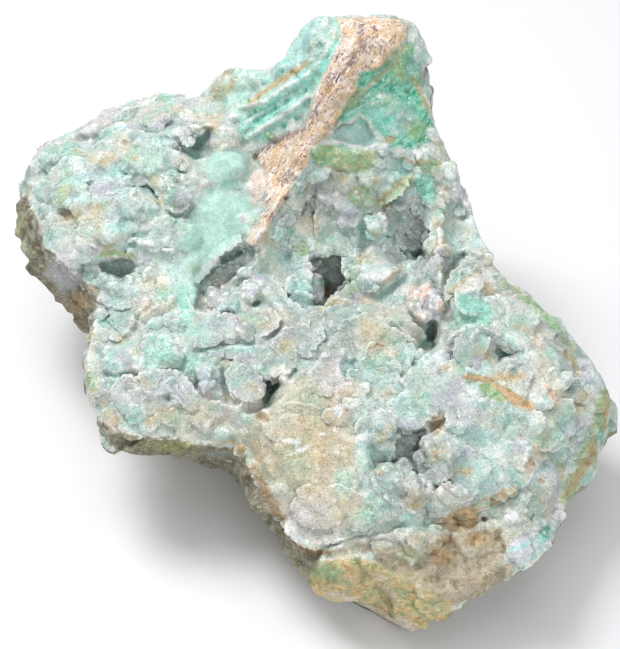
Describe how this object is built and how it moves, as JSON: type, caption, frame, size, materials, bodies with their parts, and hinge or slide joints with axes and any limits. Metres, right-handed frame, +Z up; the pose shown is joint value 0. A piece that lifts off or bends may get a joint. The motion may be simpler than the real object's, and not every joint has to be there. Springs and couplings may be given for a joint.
{
  "type": "mineral specimen",
  "caption": "Hand specimen of drusy blue-green garnierite crust on green-brown matrix, resting on a flat broken foot.",
  "frame": {"origin": "on the ground plane under the middle of the stone's box", "axes": "+Z up, +X along the stone's longest side, -Y the side that the crust leans towards"},
  "size_m": [0.1376, 0.1294, 0.0785],
  "materials": {
    "crust": "sparkling druse over waxy blue-green crust, rough brown-green matrix below"
  },
  "bodies": {
    "root": {"specimen": "crust"}
  },
  "joints": []
}
